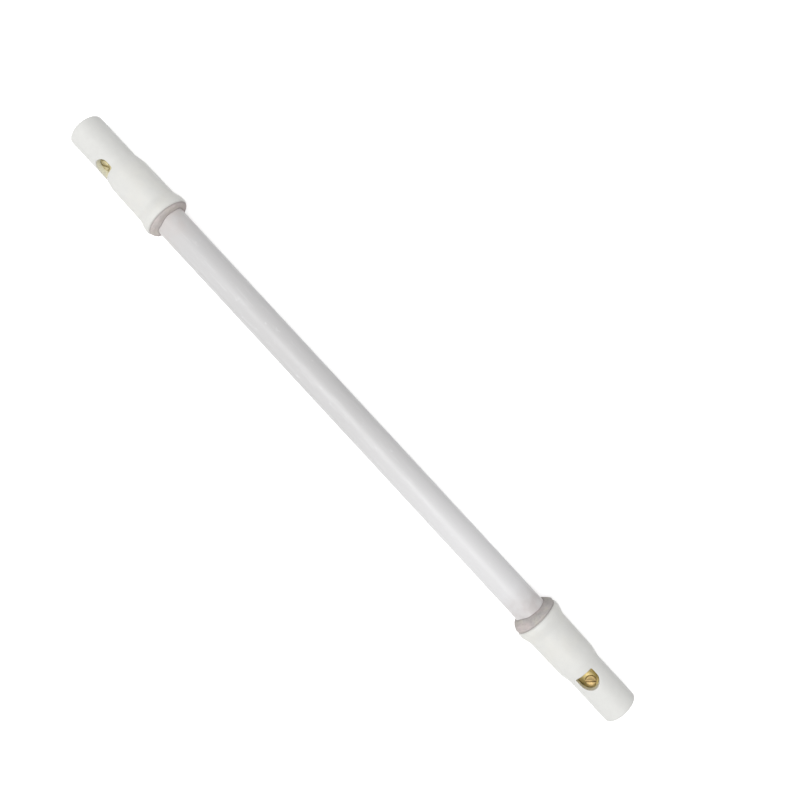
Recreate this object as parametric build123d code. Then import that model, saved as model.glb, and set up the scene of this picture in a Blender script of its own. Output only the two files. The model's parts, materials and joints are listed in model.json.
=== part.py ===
from build123d import *
from math import cos, radians
import os

# A milky quartz heating tube with a ceramic cap, a screw terminal and a cement seal at each end.

# Driving dimensions, in millimetres and degrees
overall_length = 288.0

# Quartz tube
tube_radius = 6.0
tube_wall = 1.25
tube_end_gap = 0.3

# Heating coil of flat strip, wound inside the tube
coil_clearance = 0.25
strip_thickness = 0.4
strip_width = 1.6
coil_turns = 26
coil_sides = 10
coil_from_tube_end = 22.0

# Lead pin, with a plug that grips the coil's last turns
plug_length = 7.0
plug_clearance = 0.05
pin_radius = 1.2
pin_clearance = 0.05
pin_end_gap = 0.2

# Terminal barrel
barrel_wall = 2.9
barrel_clearance = 0.2
barrel_end_gap = 0.3
barrel_web = 1.0
wire_bore_radius = 1.6
wire_bore_run_out = 2.1
wire_bore_chamfer = 0.4
lead_socket_depth = 3.0

# Slotted clamp screw, without a head
screw_from_end = 15.9
screw_radius = 2.0
screw_stand = 0.3
screw_chamfer = 0.3
screw_slot_width = 0.8
screw_slot_depth = 1.0
left_slot_turn = 35.0
right_slot_turn = 51.0

# Ceramic cap, from its end face towards the middle of the tube
entry_wall = 6.0
entry_radius = 2.2
entry_chamfer = 0.5
end_chamfer = 0.8
neck_wall = 2.25
neck_length = 18.6
step_length = 4.9
socket_clearance = 0.3
body_wall_at_step = 1.35
body_wall_at_rim = 1.75
body_length = 14.5
flare_length = 4.5
rim_rise = 1.0
rim_land = 2.25
rim_chamfer = 0.45
mouth_depth = 4.0
mouth_lip = 1.0

# D-shaped window over the clamp screw
window_past_screw = 1.6
window_side_gap = 1.65
window_flat_gap = 1.4
left_window_turn = 39.0

# Cement seal in the mouth of each cap
left_seal_length = 2.8
left_seal_bulge = 0.25
right_seal_length = 4.2
right_seal_bulge = 0.7

# Sizes that follow from those above
tube_bore_radius = tube_radius - tube_wall
coil_radius = tube_bore_radius - coil_clearance
coil_bore_radius = (coil_radius - strip_thickness) * cos(radians(180 / coil_sides))
plug_radius = coil_bore_radius - plug_clearance
barrel_radius = wire_bore_radius + barrel_wall
chamber_radius = barrel_radius + barrel_clearance
neck_radius = chamber_radius + neck_wall
socket_radius = tube_radius + socket_clearance
body_radius_at_step = socket_radius + body_wall_at_step
body_radius_at_rim = socket_radius + body_wall_at_rim
rim_radius = body_radius_at_rim + rim_rise
face_radius = rim_radius - rim_chamfer
mouth_radius = face_radius - mouth_lip

# Stations along a cap, measured from its end face
window_from_end = screw_from_end + window_past_screw
wire_bore_end = screw_from_end + screw_radius + wire_bore_run_out
barrel_end = wire_bore_end + barrel_web + lead_socket_depth
socket_floor = barrel_end + barrel_end_gap
tube_end = socket_floor + tube_end_gap
coil_end = tube_end + coil_from_tube_end
step_end = neck_length + step_length
body_end = step_end + body_length
flare_end = body_end + flare_length
cap_length = flare_end + rim_land

along_x = Axis.X


def turned(outline):
    """The solid of a closed outline of curves in the XY plane, turned about the X axis."""
    return revolve(make_face(outline), axis=along_x)


def end_cap():
    """Ceramic cap: end face at x = 0, mouth towards +X, window towards +Z."""
    end_and_neck = Polyline(
        (0, entry_radius + entry_chamfer),
        (0, neck_radius - end_chamfer),
        (end_chamfer, neck_radius),
        (neck_length, neck_radius),
        (step_end, body_radius_at_step),
    )
    body_taper = Bezier((step_end, body_radius_at_step), (body_end, body_radius_at_rim))
    rim_and_inside = Polyline(
        (body_end, body_radius_at_rim),
        (flare_end, rim_radius),
        (cap_length - rim_chamfer, rim_radius),
        (cap_length, face_radius),
        (cap_length, mouth_radius),
        (cap_length - mouth_depth, mouth_radius),
        (cap_length - mouth_depth, socket_radius),
        (socket_floor, socket_radius),
        (socket_floor, chamber_radius),
        (entry_wall, chamber_radius),
        (entry_wall, entry_radius),
        (entry_chamfer, entry_radius),
        (0, entry_radius + entry_chamfer),
    )
    outline = [*end_and_neck.edges(), body_taper, *rim_and_inside.edges()]
    return turned(outline) - window_cutter()


def window_cutter():
    """Prism of the D-shaped window: half round towards the end face, flat towards the tube."""
    half_width = screw_radius + window_side_gap
    flat = screw_radius + window_flat_gap
    outline = [
        Line((0, -half_width), (flat, -half_width)),
        Line((flat, -half_width), (flat, half_width)),
        Line((flat, half_width), (0, half_width)),
        ThreePointArc((0, half_width), (-half_width, 0), (0, -half_width)),
    ]
    prism = extrude(make_face(outline), amount=neck_radius + rim_radius)
    return Pos(window_from_end, 0, 0) * prism


def terminal_barrel():
    """Brass barrel: a wire bore open to the end face, a blind socket for the lead pin."""
    outline = Polyline(
        (entry_wall, wire_bore_radius + wire_bore_chamfer),
        (entry_wall, barrel_radius),
        (barrel_end, barrel_radius),
        (barrel_end, pin_radius + pin_clearance),
        (barrel_end - lead_socket_depth, pin_radius + pin_clearance),
        (barrel_end - lead_socket_depth, 0),
        (wire_bore_end, 0),
        (wire_bore_end, wire_bore_radius),
        (entry_wall + wire_bore_chamfer, wire_bore_radius),
        (entry_wall, wire_bore_radius + wire_bore_chamfer),
    )
    tapped_hole = Pos(screw_from_end, 0, 0) * extrude(Circle(screw_radius), amount=barrel_radius)
    return turned(outline.edges()) - tapped_hole


def clamp_screw(slot_turn):
    """Slotted screw across the barrel's wall, its flat tip flush with the wire bore."""
    top = barrel_radius + screw_stand
    foot = Plane.XY.offset(wire_bore_radius)
    screw = extrude(foot * Circle(screw_radius), amount=top - wire_bore_radius)
    screw = chamfer(screw.edges().group_by(Axis.Z)[-1], screw_chamfer)
    slot = Box(3 * screw_radius, screw_slot_width, 2 * screw_slot_depth)
    screw -= Pos(0, 0, top) * Rot(0, 0, slot_turn) * slot
    return Pos(screw_from_end, 0, 0) * screw


def lead_pin():
    """Steel pin from the barrel's socket to a plug inside the coil's last turns."""
    pin_start = barrel_end - lead_socket_depth + pin_end_gap
    outline = Polyline(
        (pin_start, 0),
        (pin_start, pin_radius),
        (coil_end, pin_radius),
        (coil_end, plug_radius),
        (coil_end + plug_length, plug_radius),
        (coil_end + plug_length, 0),
        (pin_start, 0),
    )
    return turned(outline.edges())


def cement_seal(seal_length, seal_bulge):
    """Cement that fills the mouth's recess and slopes up from the tube to the rim."""
    crown = (cap_length + seal_length / 2 + seal_bulge, (face_radius + tube_radius) / 2 + seal_bulge)
    outline = Polyline(
        (cap_length + seal_length, tube_radius),
        (cap_length - mouth_depth, tube_radius),
        (cap_length - mouth_depth, mouth_radius),
        (cap_length, mouth_radius),
        (cap_length, face_radius),
        crown,
        close=True,
    )
    return turned(outline.edges())


def quartz_tube():
    """Plain tube with square-cut ends, centred on the origin."""
    ring = Circle(tube_radius) - Circle(tube_bore_radius)
    return Rot(0, 90, 0) * extrude(ring, amount=overall_length / 2 - tube_end, both=True)


def resistance_coil():
    """Flat strip wound on a helix, in straight-sided turns, from one plug to the other."""
    length = overall_length - 2 * coil_end - strip_width
    across = Plane(origin=(coil_radius - strip_thickness / 2, 0, 0), x_dir=(1, 0, 0), z_dir=(0, 1, 0))
    section = across * Rectangle(strip_thickness, strip_width)
    sides = coil_turns * coil_sides
    sections = [
        Pos(0, 0, length * side / sides) * Rot(0, 0, 360 * side / coil_sides) * section
        for side in range(sides + 1)
    ]
    coil = loft(sections, ruled=True)
    return Rot(0, 90, 0) * Pos(0, 0, -length / 2) * coil


def at_left(shape):
    return Pos(-overall_length / 2, 0, 0) * Rot(left_window_turn, 0, 0) * shape


def at_right(shape):
    return Pos(overall_length / 2, 0, 0) * Rot(0, 0, 180) * shape


def build():
    return {
        "quartz_tube": quartz_tube(),
        "resistance_coil": resistance_coil(),
        "left_lead_pin": at_left(lead_pin()),
        "left_terminal_barrel": at_left(terminal_barrel()),
        "left_clamp_screw": at_left(clamp_screw(left_slot_turn)),
        "left_end_cap": at_left(end_cap()),
        "left_cement_seal": at_left(cement_seal(left_seal_length, left_seal_bulge)),
        "right_lead_pin": at_right(lead_pin()),
        "right_terminal_barrel": at_right(terminal_barrel()),
        "right_clamp_screw": at_right(clamp_screw(right_slot_turn)),
        "right_end_cap": at_right(end_cap()),
        "right_cement_seal": at_right(cement_seal(right_seal_length, right_seal_bulge)),
    }


os.makedirs("parts", exist_ok=True)
for name, shape in build().items():
    export_step(shape, f"parts/{name}.step")
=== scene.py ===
"""Looks of a milky quartz heating element: ceramic caps, rough cement and brass screw terminals."""

import json
from math import atan2, cos, pi, radians, sin, sqrt, tan, tau

import bmesh
import bpy
from mathutils import Matrix, Vector, noise

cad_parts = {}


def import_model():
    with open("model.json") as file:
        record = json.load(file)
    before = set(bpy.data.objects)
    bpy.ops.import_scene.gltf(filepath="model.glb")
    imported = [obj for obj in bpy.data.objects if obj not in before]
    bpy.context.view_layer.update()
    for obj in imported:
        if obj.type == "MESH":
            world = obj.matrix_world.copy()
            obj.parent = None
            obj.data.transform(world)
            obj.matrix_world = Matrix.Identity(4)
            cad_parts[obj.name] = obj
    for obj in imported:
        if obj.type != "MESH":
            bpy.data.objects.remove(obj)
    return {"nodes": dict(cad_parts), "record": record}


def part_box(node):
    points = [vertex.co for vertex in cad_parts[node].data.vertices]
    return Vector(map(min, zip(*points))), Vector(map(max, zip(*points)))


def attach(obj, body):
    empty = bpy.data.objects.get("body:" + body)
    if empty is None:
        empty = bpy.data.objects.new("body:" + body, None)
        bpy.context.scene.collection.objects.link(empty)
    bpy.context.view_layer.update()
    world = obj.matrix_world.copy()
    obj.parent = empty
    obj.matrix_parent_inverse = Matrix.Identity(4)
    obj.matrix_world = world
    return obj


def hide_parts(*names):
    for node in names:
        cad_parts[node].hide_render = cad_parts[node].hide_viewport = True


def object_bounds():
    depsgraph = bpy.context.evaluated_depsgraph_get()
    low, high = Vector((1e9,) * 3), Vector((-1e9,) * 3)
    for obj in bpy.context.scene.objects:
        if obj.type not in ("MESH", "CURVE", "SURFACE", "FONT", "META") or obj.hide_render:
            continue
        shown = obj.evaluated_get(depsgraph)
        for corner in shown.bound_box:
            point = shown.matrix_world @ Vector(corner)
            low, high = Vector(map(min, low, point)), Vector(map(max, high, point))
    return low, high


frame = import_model()
cad_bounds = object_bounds()

# Pieces are built in millimetres and brought to the frame's metres when they are placed.
mm = 0.001


def node_box(node):
    """Lowest and highest corner of a CAD node, in millimetres."""
    low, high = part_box(node)
    return low / mm, high / mm


# Sizes in millimetres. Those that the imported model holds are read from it.
mounts = {mount["name"]: mount for mount in frame["record"]["mounts"]}
tube_low, tube_high = node_box("quartz_tube")
cap_low, cap_high = node_box("right_end_cap")
barrel_low, barrel_high = node_box("right_terminal_barrel")
screw_low, screw_high = node_box("right_clamp_screw")
half_length = cap_high.x
tube_radius = tube_high.z
cap_length = cap_high.x - cap_low.x
rim_radius = cap_high.z
neck_radius = mounts["right_neck"]["dims"]["r_mm"]
wire_bore_radius = mounts["right_wire_bore"]["dims"]["r_mm"]
barrel_radius = barrel_high.z
barrel_start = half_length - barrel_high.x
barrel_end = half_length - barrel_low.x
screw_x = half_length - (screw_low.x + screw_high.x) / 2
screw_radius = (screw_high.x - screw_low.x) / 2
screw_top = screw_high.z

# Ceramic cap, from its end face towards the tube
entry_radius = 2.2
entry_round = 0.5
entry_inner_round = 0.3
end_round = 0.5
neck_length = 19.2
step_length = 4.1
body_radius_at_step = 7.8
body_radius_at_rim = 8.05
body_length = 15.9
flare_length = 3.3
step_round = 7
flare_round = 4
flare_end_round = 3
rim_round = 0.9
chamber_radius = 4.7
socket_radius = 6.3
socket_floor = 24.3
mouth_radius = 7.6
mouth_depth = 4.0
window_x = 17.1
window_half_width = 3.65
window_flat = 2.9
window_corner = 0.45
window_edge_round = 0.35
window_foot = -0.7

# Terminal barrel
barrel_round = 0.25
wire_bore_round = 0.4
wire_bore_end = 20.0
pin_socket_radius = 1.25
pin_socket_depth = 3.0
tapped_hole_gap = 0.05
tapped_hole_bevel = 0.15

# Clamp screw
screw_top_round = 0.35
screw_tip_round = 0.25
slot_width = 0.8
slot_depth = 0.6
slot_edge_bevel = 0.07
slot_turn = {"left": 35, "right": 51}

# Quartz tube and cement
tube_bore_radius = 4.75
tube_end_round = 0.3
tube_waviness = 0.03
cement_radius_at_rim = 8.6
cement_bulge_share = 0.16
cement_in_tube = 0.05
cement_behind_face = 0.02

# Facets round each turned piece, and the length of those along it
cap_segments = 144
cap_spacing = 0.7
brass_segments = 96
hole_segments = 72
cement_segments = 180
cement_spacing = 0.2
tube_segments = 128
tube_spacing = 2.5
window_spacing = 0.25


def linked(name, mesh):
    """A new object in the scene that shows a mesh."""
    piece = bpy.data.objects.new(name, mesh)
    bpy.context.scene.collection.objects.link(piece)
    return piece


def finished(mesh_build, name):
    """The object of a bmesh, with its normals outwards and its doubled points joined."""
    bmesh.ops.remove_doubles(mesh_build, verts=mesh_build.verts, dist=1e-4)
    loose = [edge for edge in mesh_build.edges if not edge.link_faces]
    bmesh.ops.delete(mesh_build, geom=loose, context="EDGES")
    bmesh.ops.recalc_face_normals(mesh_build, faces=mesh_build.faces)
    mesh = bpy.data.meshes.new(name)
    mesh_build.to_mesh(mesh)
    mesh_build.free()
    return linked(name, mesh)


def rounded(corners, steps=8):
    """Points of a closed outline whose corners (x, radius, fillet) are rounded by arcs."""
    points = []
    for index, (x, radius, fillet) in enumerate(corners):
        corner = Vector((x, radius))
        if fillet == 0:
            points.append(corner)
            continue
        back = (Vector(corners[index - 1][:2]) - corner).normalized()
        ahead = (Vector(corners[(index + 1) % len(corners)][:2]) - corner).normalized()
        half_angle = back.angle(ahead) / 2
        reach = fillet / tan(half_angle)
        centre = corner + (back + ahead).normalized() * fillet / sin(half_angle)
        first = corner + back * reach - centre
        last = corner + ahead * reach - centre
        for step in range(steps + 1):
            points.append(centre + first.lerp(last, step / steps).normalized() * fillet)
    return points


def divided(outline, spacing):
    """The closed outline with its long sides cut into stretches of about the spacing."""
    points = []
    for here, following in zip(outline, outline[1:] + outline[:1]):
        steps = max(1, round((following - here).length / spacing))
        points += [here.lerp(following, step / steps) for step in range(steps)]
    return points


def lathe(name, outline, segments, wobble=None):
    """Solid of a closed outline of (x, radius) points, turned about the X axis."""
    mesh_build = bmesh.new()
    rings = []
    for segment in range(segments):
        angle = tau * (segment + 0.5) / segments
        ring = []
        for x, radius in outline:
            if wobble:
                x, radius = wobble(x, radius, angle)
            ring.append(mesh_build.verts.new((x, -radius * sin(angle), radius * cos(angle))))
        rings.append(ring)
    for ring, following in zip(rings, rings[1:] + rings[:1]):
        for index in range(len(outline)):
            ahead = (index + 1) % len(outline)
            corners = (ring[index], ring[ahead], following[ahead], following[index])
            mesh_build.faces.new(corners)
    return finished(mesh_build, name)


def shell(name, rings):
    """Closed solid whose wall runs through rings of equal length, with a fan at each end."""
    mesh_build = bmesh.new()
    rows = [[mesh_build.verts.new(point) for point in ring] for ring in rings]
    for row, following in zip(rows, rows[1:]):
        for index in range(len(row)):
            ahead = (index + 1) % len(row)
            mesh_build.faces.new((row[index], row[ahead], following[ahead], following[index]))
    for row, ring in ((rows[0], rings[0]), (rows[-1], rings[-1])):
        middle = mesh_build.verts.new(sum((Vector(point) for point in ring), Vector()) / len(ring))
        for index in range(len(row)):
            mesh_build.faces.new((row[index], row[(index + 1) % len(row)], middle))
    return finished(mesh_build, name)


def cut_away(piece, cutter):
    """Takes the cutter's volume out of the piece."""
    modifier = piece.modifiers.new("cut", "BOOLEAN")
    modifier.operation = "DIFFERENCE"
    modifier.solver = "EXACT"
    modifier.object = cutter
    applied(piece)
    bpy.data.objects.remove(cutter)


def applied(piece):
    """Gives the piece the mesh that its modifiers make."""
    graph = bpy.context.evaluated_depsgraph_get()
    mesh = bpy.data.meshes.new_from_object(piece.evaluated_get(graph))
    piece.modifiers.clear()
    piece.data = mesh


def softened(piece, width):
    """Bevels every sharp edge of the piece."""
    modifier = piece.modifiers.new("bevel", "BEVEL")
    modifier.width = width
    modifier.segments = 2
    modifier.limit_method = "ANGLE"
    modifier.angle_limit = radians(40)
    applied(piece)


def smooth(piece, sharpest=35):
    """Smooth shading, apart from edges sharper than an angle in degrees."""
    piece.data.shade_smooth()
    piece.data.set_sharp_from_angle(angle=radians(sharpest))


def placed(piece, side):
    """Takes a piece made with the end face at x = 0 and the window up to its end of the tube."""
    low, high = node_box(side + "_clamp_screw")
    window_turn = atan2(-(low.y + high.y), low.z + high.z)
    if side == "left":
        place = Matrix.Translation((-half_length, 0, 0)) @ Matrix.Rotation(window_turn, 4, "X")
    else:
        place = Matrix.Translation((half_length, 0, 0)) @ Matrix.Rotation(pi, 4, "Z")
    piece.data.transform(Matrix.Scale(mm, 4) @ place)


# Ceramic caps. Their outline's corners give x from the end face, radius and fillet.


step_end = neck_length + step_length
body_end = step_end + body_length
flare_end = body_end + flare_length
cap_outside = [
    (0, entry_radius, entry_round),
    (0, neck_radius, end_round),
    (neck_length, neck_radius, step_round),
    (step_end, body_radius_at_step, step_round),
    (body_end, body_radius_at_rim, flare_round),
    (flare_end, rim_radius, flare_end_round),
    (cap_length, rim_radius, rim_round),
]
cap_inside = [
    (cap_length, mouth_radius, 0),
    (cap_length - mouth_depth, mouth_radius, 0),
    (cap_length - mouth_depth, socket_radius, 0),
    (socket_floor, socket_radius, 0),
    (socket_floor, chamber_radius, 0),
    (barrel_start, chamber_radius, 0),
    (barrel_start, entry_radius, entry_inner_round),
]


def outer_radius(x):
    """Radius of the cap's outside near the window, where the neck turns into the step."""
    if x <= neck_length:
        return neck_radius
    slope = (body_radius_at_step - neck_radius) / step_length
    return neck_radius + slope * (x - neck_length)


def window_outline(spacing):
    """Points round the D-shaped window, each with its outward direction."""
    side = window_half_width - window_corner
    arcs = [
        ((window_flat - window_corner, -side), window_corner, -90, 0),
        ((window_flat - window_corner, side), window_corner, 0, 90),
        ((0, 0), window_half_width, 90, 270),
    ]
    knots = []
    for (x, y), radius, start, stop in arcs:
        steps = max(4, round(radians(stop - start) * radius / spacing))
        for step in range(steps + 1):
            angle = radians(start + (stop - start) * step / steps)
            away = Vector((cos(angle), sin(angle)))
            knots.append((Vector((window_x + x, y)) + away * radius, away))
    outline = []
    for (here, away), (following, away_after) in zip(knots, knots[1:] + knots[:1]):
        steps = max(1, round((following - here).length / spacing))
        for step in range(steps):
            share = step / steps
            outline.append((here.lerp(following, share), away.lerp(away_after, share)))
    return outline


def window_cutter():
    """The window's hollow, which opens out in a soft edge where it meets the cap's outside."""
    outline = window_outline(window_spacing)
    rings = [[(point.x, point.y, window_foot) for point, away in outline]]
    # Spread and depth of each ring, in edge rounds: an arc, then on in its last slope past the outside
    rise_angles = [radians(angle) for angle in (0, 12, 24, 36, 48, 60, 70)]
    levels = [(1 - cos(angle), 1 - sin(angle)) for angle in rise_angles]
    last_spread, last_depth = levels[-1]
    levels.append((last_spread + 2.2, last_depth - 0.8))
    for spread, depth in levels:
        ring = []
        for point, away in outline:
            x, y = point + away * spread * window_edge_round
            height = sqrt(outer_radius(x) ** 2 - y**2) - depth * window_edge_round
            ring.append((x, y, height))
        rings.append(ring)
    rings.append([(x, y, rim_radius) for x, y, height in rings[-1]])
    return shell("window_cutter", rings)


def end_cap(side):
    """Turned ceramic cap, hollow for the barrel and the tube, with its window cut through the wall."""
    outline = divided(rounded(cap_outside + cap_inside), cap_spacing)
    cap = lathe(side + "_cap", outline, cap_segments)
    cut_away(cap, window_cutter())
    smooth(cap)
    placed(cap, side)
    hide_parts(side + "_end_cap")
    return cap


# Brass terminal


def standing(piece):
    """Stands a piece that was turned about X up along Z, in the line of the clamp screw."""
    piece.data.transform(Matrix.Translation((screw_x, 0, 0)) @ Matrix.Rotation(-pi / 2, 4, "Y"))
    return piece


def tapped_hole_cutter():
    """The screw's hole down to the wire bore, bevelled where it comes out of the barrel."""
    radius = screw_radius + tapped_hole_gap
    # Heights over the tube's axis, which lie along X until the cutter stands
    foot = 0.01
    rise = 1
    outline = [
        Vector((foot, 0)),
        Vector((foot, radius)),
        Vector((barrel_radius - tapped_hole_bevel, radius)),
        Vector((barrel_radius + rise, radius + tapped_hole_bevel + rise)),
        Vector((barrel_radius + rise, 0)),
    ]
    return standing(lathe("hole_cutter", outline, hole_segments))


def terminal_barrel(side):
    """Brass barrel with the wire bore, the lead pin's socket and the screw's hole."""
    outline = rounded(
        [
            (barrel_start, wire_bore_radius, wire_bore_round),
            (barrel_start, barrel_radius, barrel_round),
            (barrel_end, barrel_radius, barrel_round),
            (barrel_end, pin_socket_radius, 0),
            (barrel_end - pin_socket_depth, pin_socket_radius, 0),
            (barrel_end - pin_socket_depth, 0, 0),
            (wire_bore_end, 0, 0),
            (wire_bore_end, wire_bore_radius, 0),
        ],
        steps=4,
    )
    barrel = lathe(side + "_barrel", outline, brass_segments)
    cut_away(barrel, tapped_hole_cutter())
    smooth(barrel)
    placed(barrel, side)
    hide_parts(side + "_terminal_barrel")
    return barrel


def clamp_screw(side):
    """Slotted screw without a head. It is turned about X, then stood up along Z in the window."""
    outline = rounded(
        [
            (screw_top, 0, 0),
            (screw_top, screw_radius, screw_top_round),
            (wire_bore_radius, screw_radius, screw_tip_round),
            (wire_bore_radius, 0, 0),
        ],
        steps=6,
    )
    screw = standing(lathe(side + "_screw", outline, brass_segments))
    slot_cutter = bmesh.new()
    bmesh.ops.create_cube(slot_cutter, size=1)
    slot = finished(slot_cutter, "slot_cutter")
    size = Matrix.Diagonal((3 * screw_radius, slot_width, 2 * slot_depth, 1))
    turn = Matrix.Rotation(radians(slot_turn[side]), 4, "Z")
    slot.data.transform(Matrix.Translation((screw_x, 0, screw_top)) @ turn @ size)
    cut_away(screw, slot)
    softened(screw, slot_edge_bevel)
    smooth(screw, sharpest=50)
    placed(screw, side)
    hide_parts(side + "_clamp_screw")
    return screw


# Cement and quartz


def cement_seal(side, grain_seed, shoulder_radius, shortest_at, share_there, share_opposite):
    """Hand-filled cement: a lumpy bead from the rim's face down to the tube.

    It keeps share_there of its full length at the angle shortest_at, and share_opposite facing that.
    """
    lump_scale = 0.28
    grain_scale = 1.1
    full_height_from = 0.6
    low, high = node_box(side + "_cement_seal")
    reach = high.x - low.x - mouth_depth
    bulge = cement_bulge_share * reach
    crown = cap_length + reach / 2 + bulge
    crown_radius = (cement_radius_at_rim + tube_radius) / 2 + bulge
    inner_radius = tube_radius - cement_in_tube
    outline = rounded(
        [
            (cap_length - mouth_depth, inner_radius, 0),
            (cap_length - mouth_depth, mouth_radius, 0),
            (cap_length - cement_behind_face, mouth_radius, 0),
            (cap_length - cement_behind_face, cement_radius_at_rim, 0.1),
            (cap_length + 0.3 * reach, shoulder_radius, 0.6),
            (crown, crown_radius, 1.2),
            (cap_length + reach, inner_radius, 0),
        ]
    )

    def wobble(x, radius, angle):
        under_bead = radius < inner_radius + 0.01 and x < cap_length + reach / 2
        if x < cap_length or under_bead:
            return x, radius
        place = Vector((x, radius * sin(angle), radius * cos(angle))) + grain_seed
        lump = noise.noise(place * lump_scale)
        grain = noise.noise(place * grain_scale) * 0.35
        outside = min(1, (x - cap_length) / full_height_from)
        nearness = (0.5 + 0.5 * cos(angle - radians(shortest_at))) ** 1.5
        share = share_opposite + (share_there - share_opposite) * nearness
        x = cap_length + (x - cap_length) * share
        x += (lump * 0.55 + grain * 0.2) * outside * (x - cap_length) / reach
        return x, radius + (lump * 0.25 + grain * 0.3) * outside

    seal = lathe(side + "_cement", divided(outline, cement_spacing), cement_segments, wobble)
    smooth(seal, sharpest=60)
    placed(seal, side)
    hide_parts(side + "_cement_seal")
    return seal


def quartz_tube():
    """Drawn tube with melted ends, a little uneven along its length."""
    outline = [
        (tube_low.x, tube_bore_radius, tube_end_round),
        (tube_low.x, tube_radius, tube_end_round),
        (tube_high.x, tube_radius, tube_end_round),
        (tube_high.x, tube_bore_radius, tube_end_round),
    ]

    def wobble(x, radius, angle):
        drawn = noise.noise(Vector((x * 0.05, 1.5 * cos(angle), 1.5 * sin(angle))))
        return x, radius - tube_waviness * (0.5 + drawn * 0.5)

    tube = lathe("tube", divided(rounded(outline, steps=4), tube_spacing), tube_segments, wobble)
    smooth(tube)
    tube.data.transform(Matrix.Scale(mm, 4))
    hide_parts("quartz_tube")
    return tube


# Materials


class Look:
    """A material with a Principled shader and short calls for the nodes that feed it."""

    def __init__(self, name, **settings):
        self.material = bpy.data.materials.new(name)
        self.material.use_nodes = True
        self.nodes = self.material.node_tree.nodes
        self.shader = self.nodes["Principled BSDF"]
        self.place = self.nodes.new("ShaderNodeTexCoord").outputs["Object"]
        for socket, value in settings.items():
            self.shader.inputs[socket.replace("_", " ")].default_value = value

    def link(self, source, target):
        self.material.node_tree.links.new(source, target)

    def feed(self, socket, source):
        self.link(source, self.shader.inputs[socket])

    def grain(self, scale, detail=3, roughness=0.5, stretch=(1, 1, 1), shift=(0, 0, 0)):
        """Noise whose scale is in features per millimetre, pulled out along an axis by stretch."""
        mapping = self.nodes.new("ShaderNodeMapping")
        mapping.inputs["Scale"].default_value = [scale / mm / pull for pull in stretch]
        mapping.inputs["Location"].default_value = shift
        self.link(self.place, mapping.inputs["Vector"])
        texture = self.nodes.new("ShaderNodeTexNoise")
        texture.inputs["Scale"].default_value = 1
        texture.inputs["Detail"].default_value = detail
        texture.inputs["Roughness"].default_value = roughness
        self.link(mapping.outputs["Vector"], texture.inputs["Vector"])
        return texture.outputs["Fac"]

    def span(self, source, low, high, out_low=0.0, out_high=1.0):
        """Maps source from low..high to out_low..out_high, without going past them."""
        node = self.nodes.new("ShaderNodeMapRange")
        node.inputs["From Min"].default_value = low
        node.inputs["From Max"].default_value = high
        node.inputs["To Min"].default_value = out_low
        node.inputs["To Max"].default_value = out_high
        self.link(source, node.inputs["Value"])
        return node.outputs["Result"]

    def mix(self, factor, first, second):
        """Colour between first and second, each a colour or another node's output."""
        node = self.nodes.new("ShaderNodeMix")
        node.data_type = "RGBA"
        self.link(factor, node.inputs["Factor"])
        for name, colour in (("A", first), ("B", second)):
            socket = next(s for s in node.inputs if s.name == name and s.type == "RGBA")
            if isinstance(colour, tuple):
                socket.default_value = (*colour, 1)
            else:
                self.link(colour, socket)
        return next(s for s in node.outputs if s.type == "RGBA")

    def combine(self, first, second, operation="ADD"):
        """Result of an operation on first and second, each a number or another node's output."""
        node = self.nodes.new("ShaderNodeMath")
        node.operation = operation
        for socket, value in zip(node.inputs, (first, second)):
            if isinstance(value, (int, float)):
                socket.default_value = value
            else:
                self.link(value, socket)
        return node.outputs["Value"]

    def lengthwise(self):
        """Place along the tube's axis, from the middle of the tube."""
        node = self.nodes.new("ShaderNodeSeparateXYZ")
        self.link(self.place, node.inputs["Vector"])
        return node.outputs["X"]

    def along(self):
        """Distance from the middle of the tube along its axis."""
        return self.combine(self.lengthwise(), 0, "ABSOLUTE")

    def from_axis(self):
        """Distance from the tube's axis."""
        flat = self.nodes.new("ShaderNodeVectorMath")
        flat.operation = "MULTIPLY"
        flat.inputs[1].default_value = (0, 1, 1)
        self.link(self.place, flat.inputs[0])
        length = self.nodes.new("ShaderNodeVectorMath")
        length.operation = "LENGTH"
        self.link(flat.outputs["Vector"], length.inputs[0])
        return length.outputs["Value"]

    def bump(self, height, depth):
        """Raises the surface by depth, in metres, where height is 1."""
        node = self.nodes.new("ShaderNodeBump")
        node.inputs["Distance"].default_value = depth
        self.link(height, node.inputs["Height"])
        self.feed("Normal", node.outputs["Normal"])

    def on(self, *pieces):
        """Gives the pieces this material alone."""
        for piece in pieces:
            piece.data.materials.clear()
            piece.data.materials.append(self.material)


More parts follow.
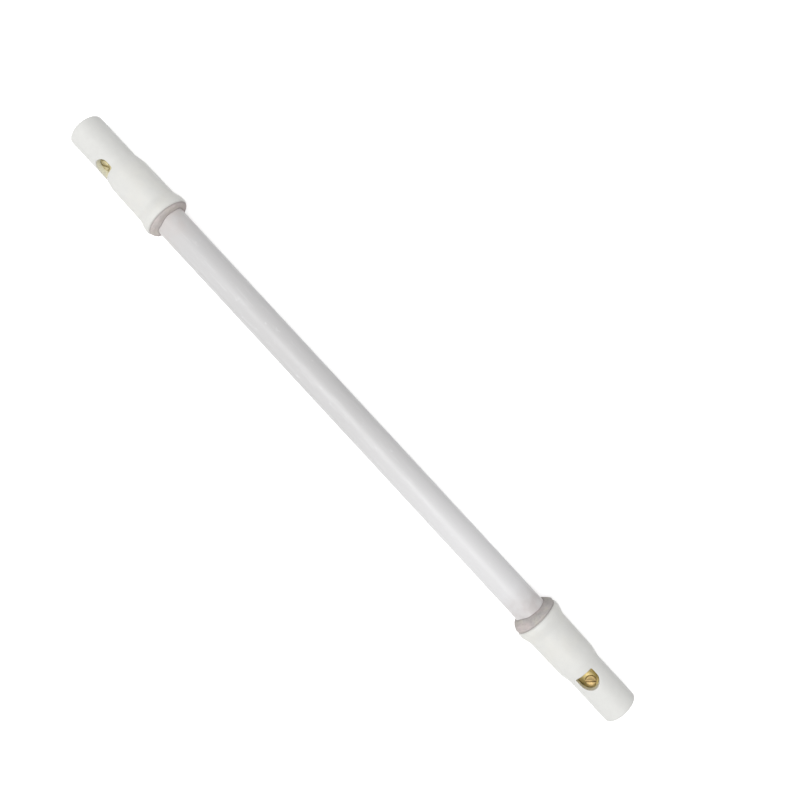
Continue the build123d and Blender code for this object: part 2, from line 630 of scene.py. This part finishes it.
def ceramic_look():
    """Fired ceramic: white with a warmer cloud towards the rim, faint specks, a powdery surface and
    painted light that makes the walls inside the neck paler and yellower.
    """
    look = Look("fired_ceramic", IOR=1.5)
    cool = (0.80, 0.80, 0.775)
    warm = (0.815, 0.807, 0.765)
    greyed = (0.72, 0.72, 0.70)
    speck = (0.58, 0.55, 0.50)
    painted_bounce_light = (0.92, 0.915, 0.795)
    towards_rim = look.span(look.along(), 0.128, 0.112)
    cloud = look.span(look.grain(0.12, 4), 0.35, 0.65)
    tone = look.mix(look.combine(towards_rim, cloud, "MULTIPLY"), cool, warm)
    blotches = look.span(look.grain(0.35, 3, shift=(3, 0, 0)), 0.3, 0.75, 0, 0.35)
    tone = look.mix(blotches, tone, greyed)
    specks = look.span(look.grain(1.6, 2, shift=(7, 1, 0)), 0.70, 0.76, 0, 0.3)
    tone = look.mix(specks, tone, speck)
    # Painted light: surfaces nearer the axis than the neck's outside, the window's walls among them,
    # are painted paler and yellower, standing in for light bounced off the brass.
    painted_bounce_mask = look.span(look.from_axis(), (neck_radius - 0.3) * mm, (neck_radius - 0.8) * mm)
    look.feed("Base Color", look.mix(painted_bounce_mask, tone, painted_bounce_light))
    look.feed("Roughness", look.span(look.grain(0.6, 4), 0.3, 0.7, 0.42, 0.62))
    waves = look.combine(look.grain(0.5, 2), 1.5, "MULTIPLY")
    look.bump(look.combine(look.grain(4.0, 4, 0.6), waves), 0.03 * mm)
    return look


def cement_look():
    """Rough cement in grey, pink and sand, paler at the left end, with painted shade darkening its
    borders where it meets the rim and the tube.
    """
    look = Look("sealing_cement", Roughness=0.85, IOR=1.45)
    grey = (0.51, 0.485, 0.47)
    pink = (0.61, 0.545, 0.53)
    sand = (0.58, 0.555, 0.485)
    pit = (0.36, 0.33, 0.325)
    pale = (0.80, 0.715, 0.69)
    painted_crease_shade = (0.24, 0.205, 0.21)
    tone = look.mix(look.span(look.grain(0.22, 3), 0.4, 0.6), grey, pink)
    sandy = look.span(look.grain(0.3, 3, shift=(5, 2, 1)), 0.5, 0.68, 0, 0.8)
    tone = look.mix(sandy, tone, sand)
    pitted = look.span(look.grain(2.2, 3), 0.56, 0.72, 0, 0.7)
    tone = look.mix(pitted, tone, pit)
    at_left = look.span(look.lengthwise(), 0.01, -0.01, 0, 0.35)
    tone = look.mix(at_left, tone, pale)
    # Painted shade: the cement darkens towards the rim's face and towards the tube, standing in for
    # shade in the creases there.
    rim_face = (half_length - cap_length) * mm
    at_rim = look.span(look.along(), rim_face - 0.5 * mm, rim_face - 0.1 * mm)
    at_tube = look.span(look.from_axis(), (tube_radius + 0.55) * mm, (tube_radius + 0.1) * mm)
    edge = look.combine(look.combine(at_rim, at_tube, "MAXIMUM"), 0.5, "MULTIPLY")
    look.feed("Base Color", look.mix(edge, tone, painted_crease_shade))
    look.bump(look.combine(look.grain(3.5, 5, 0.65), look.grain(0.9, 3)), 0.09 * mm)
    return look


def quartz_look():
    """Milky quartz: whiter to the right, with drawn streaks and flecks and a blush at both ends."""
    look = Look("milky_quartz", IOR=1.46, Coat_Roughness=0.3, Coat_Weight=0.08)
    milk_left = (0.655, 0.648, 0.648)
    milk_right = (0.775, 0.77, 0.775)
    haze = (0.76, 0.755, 0.76)
    streak = (0.80, 0.795, 0.80)
    fleck = (0.85, 0.85, 0.86)
    blush_left = (0.66, 0.625, 0.613)
    blush_right = (0.615, 0.58, 0.572)
    milk = look.mix(look.span(look.lengthwise(), 0.0, 0.06), milk_left, milk_right)
    cloud = look.span(look.grain(0.06, 3, stretch=(3, 1, 1)), 0.35, 0.65, 0, 0.3)
    tone = look.mix(cloud, milk, haze)
    streaks = look.span(look.grain(0.9, 3, 0.6, stretch=(9, 1, 1)), 0.55, 0.75, 0, 0.5)
    tone = look.mix(streaks, tone, streak)
    fleck_grain = look.grain(0.7, 4, 0.7, stretch=(2.2, 1, 1), shift=(2, 5, 0))
    tone = look.mix(look.span(fleck_grain, 0.64, 0.70, 0, 0.6), tone, fleck)
    patches = look.span(look.grain(0.25, 2), 0.35, 0.6, 0.4, 0.9)
    at_ends = look.combine(look.span(look.along(), 0.085, 0.093), patches, "MULTIPLY")
    blush = look.mix(look.span(look.lengthwise(), -0.01, 0.01), blush_left, blush_right)
    look.feed("Base Color", look.mix(at_ends, tone, blush))
    look.feed("Roughness", look.span(look.grain(0.4, 3, stretch=(5, 1, 1)), 0.3, 0.7, 0.36, 0.54))
    look.bump(look.grain(0.8, 3, stretch=(12, 1, 1)), 0.02 * mm)
    return look


def brass_look(name, bright, dull, shift):
    """Turned brass, tarnished in patches that shift places, with dark spots and fine tool marks."""
    look = Look(name, Metallic=0.75)
    spot = (0.16, 0.12, 0.05)
    tarnish = look.span(look.grain(0.45, 4, 0.6, shift=(shift, 0, 0)), 0.38, 0.62)
    tone = look.mix(tarnish, bright, dull)
    spots = look.span(look.grain(1.7, 3, shift=(0, shift, 1)), 0.6, 0.72, 0, 0.8)
    look.feed("Base Color", look.mix(spots, tone, spot))
    look.feed("Roughness", look.span(look.grain(1.2, 3), 0.3, 0.7, 0.36, 0.58))
    look.bump(look.grain(7.0, 3, stretch=(0.35, 1.2, 1.2)), 0.012 * mm)
    return look


def steel_look(name, colour, dark):
    """Drawn steel with streaks along the tube's axis."""
    look = Look(name, Metallic=1.0)
    streaks = look.span(look.grain(0.8, 3, stretch=(4, 1, 1)), 0.35, 0.65)
    look.feed("Base Color", look.mix(streaks, colour, dark))
    look.feed("Roughness", look.span(look.grain(1.5, 3), 0.3, 0.7, 0.35, 0.6))
    look.bump(look.grain(5.0, 3, stretch=(6, 1, 1)), 0.01 * mm)
    return look


# Pieces


sides = ("left", "right")
caps = [end_cap(side) for side in sides]
barrels = [terminal_barrel(side) for side in sides]
screws = [clamp_screw(side) for side in sides]
seals = [
    cement_seal(
        "left",
        grain_seed=Vector((3.0, 11.0, 5.0)),
        shoulder_radius=8.4,
        shortest_at=-144,
        share_there=0.32,
        share_opposite=0.8,
    ),
    cement_seal(
        "right",
        grain_seed=Vector((17.0, 2.0, 9.0)),
        shoulder_radius=8.8,
        shortest_at=60,
        share_there=0.62,
        share_opposite=1.0,
    ),
]
tube = quartz_tube()

ceramic_look().on(*caps)
cement_look().on(*seals)
quartz_look().on(tube)
# The left terminal is paler than the right one.
left_barrel, right_barrel = barrels
left_screw, right_screw = screws
brass_look("left_barrel_brass", (0.60, 0.53, 0.30), (0.50, 0.44, 0.25), shift=2.0).on(left_barrel)
brass_look("left_screw_brass", (0.60, 0.53, 0.31), (0.50, 0.44, 0.26), shift=6.0).on(left_screw)
brass_look("right_barrel_brass", (0.56, 0.45, 0.20), (0.40, 0.32, 0.13), shift=2.0).on(right_barrel)
brass_look("right_screw_brass", (0.46, 0.33, 0.15), (0.34, 0.25, 0.11), shift=6.0).on(right_screw)
pins = [frame["nodes"][side + "_lead_pin"] for side in sides]
coil = frame["nodes"]["resistance_coil"]
steel_look("drawn_steel", (0.55, 0.54, 0.52), (0.40, 0.39, 0.38)).on(*pins)
steel_look("oxidised_strip", (0.20, 0.19, 0.18), (0.11, 0.10, 0.10)).on(coil)

for piece in (*caps, *barrels, *screws, *seals, tube):
    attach(piece, "root")

# Floor, world and lamps


def camera_sees(nodes, links):
    """1 for the camera's rays and for those that metal and glass send on, which show the background."""
    light_path = nodes.new("ShaderNodeLightPath")
    total = None
    for ray in ("Is Camera Ray", "Is Glossy Ray", "Is Transmission Ray"):
        if total is None:
            total = light_path.outputs[ray]
            continue
        node = nodes.new("ShaderNodeMath")
        node.operation = "MAXIMUM"
        links.new(total, node.inputs[0])
        links.new(light_path.outputs[ray], node.inputs[1])
        total = node.outputs["Value"]
    return total


def floor():
    """Pale floor under the rims, which keeps shadows and is lifted to near white where it is seen."""
    half_side = 3.0
    colour = (0.80, 0.80, 0.80, 1)
    glow_strength = 0.7
    mesh_build = bmesh.new()
    bmesh.ops.create_grid(mesh_build, x_segments=2, y_segments=2, size=half_side)
    plane = finished(mesh_build, "floor")
    plane.location.z = cad_bounds[0].z
    material = bpy.data.materials.new("pale_floor")
    material.use_nodes = True
    nodes, links = material.node_tree.nodes, material.node_tree.links
    nodes.clear()
    output = nodes.new("ShaderNodeOutputMaterial")
    diffuse = nodes.new("ShaderNodeBsdfDiffuse")
    diffuse.inputs["Color"].default_value = colour
    glow = nodes.new("ShaderNodeEmission")
    lift = nodes.new("ShaderNodeMath")
    lift.operation = "MULTIPLY"
    lift.inputs[1].default_value = glow_strength
    both = nodes.new("ShaderNodeAddShader")
    links.new(camera_sees(nodes, links), lift.inputs[0])
    links.new(lift.outputs["Value"], glow.inputs["Strength"])
    links.new(diffuse.outputs["BSDF"], both.inputs[0])
    links.new(glow.outputs["Emission"], both.inputs[1])
    links.new(both.outputs["Shader"], output.inputs["Surface"])
    plane.data.materials.append(material)


def world(ambient):
    """White surroundings that light the object at the ambient strength and look white themselves."""
    surroundings = bpy.data.worlds.new("studio")
    bpy.context.scene.world = surroundings
    surroundings.use_nodes = True
    nodes, links = surroundings.node_tree.nodes, surroundings.node_tree.links
    background = nodes["Background"]
    background.inputs["Color"].default_value = (1, 1, 1, 1)
    level = nodes.new("ShaderNodeMapRange")
    level.inputs["To Min"].default_value = ambient
    level.inputs["To Max"].default_value = 1.0
    links.new(camera_sees(nodes, links), level.inputs["Value"])
    links.new(level.outputs["Result"], background.inputs["Strength"])


def lamp(name, place, size, power):
    """Round soft lamp that points at the middle of the tube."""
    data = bpy.data.lights.new(name, "AREA")
    data.shape = "DISK"
    data.size = size
    data.energy = power
    light = bpy.data.objects.new(name, data)
    bpy.context.scene.collection.objects.link(light)
    light.location = place
    light.rotation_mode = "QUATERNION"
    light.rotation_quaternion = (-Vector(place)).to_track_quat("-Z", "Y")


def camera():
    """Above the tube and to its +Y side, rolled so that the tube runs down to the right."""
    along_tube = 12.8 * mm
    distance = 292 * mm
    place_angle = radians(15.15)
    sight_angle = radians(11.77)
    sight_lean = radians(0.97)
    roll = radians(47.2)
    place = Vector((along_tube, distance * sin(place_angle), distance * cos(place_angle)))
    across = Vector((0, sin(sight_angle), cos(sight_angle)))
    back = Vector((1, 0, 0)) * sin(sight_lean) + across * cos(sight_lean)
    tube_line = (Vector((1, 0, 0)) - back * back.x).normalized()
    over_tube = back.cross(tube_line)
    right = tube_line * cos(roll) + over_tube * sin(roll)
    up = over_tube * cos(roll) - tube_line * sin(roll)
    data = bpy.data.cameras.new("camera")
    data.sensor_width = 36
    data.lens = 35.85
    data.clip_start = 0.01
    view = bpy.data.objects.new("camera", data)
    bpy.context.scene.collection.objects.link(view)
    turn = Matrix((right, up, back)).transposed().to_4x4()
    view.matrix_world = Matrix.Translation(place) @ turn
    bpy.context.scene.camera = view


floor()
world(ambient=0.355)
lamp("key", place=(0.0, -0.10, 1.20), size=0.7, power=9.5)
lamp("side", place=(-0.20, -1.00, 0.45), size=0.8, power=1.1)
camera()
bpy.context.scene.view_settings.view_transform = "Standard"
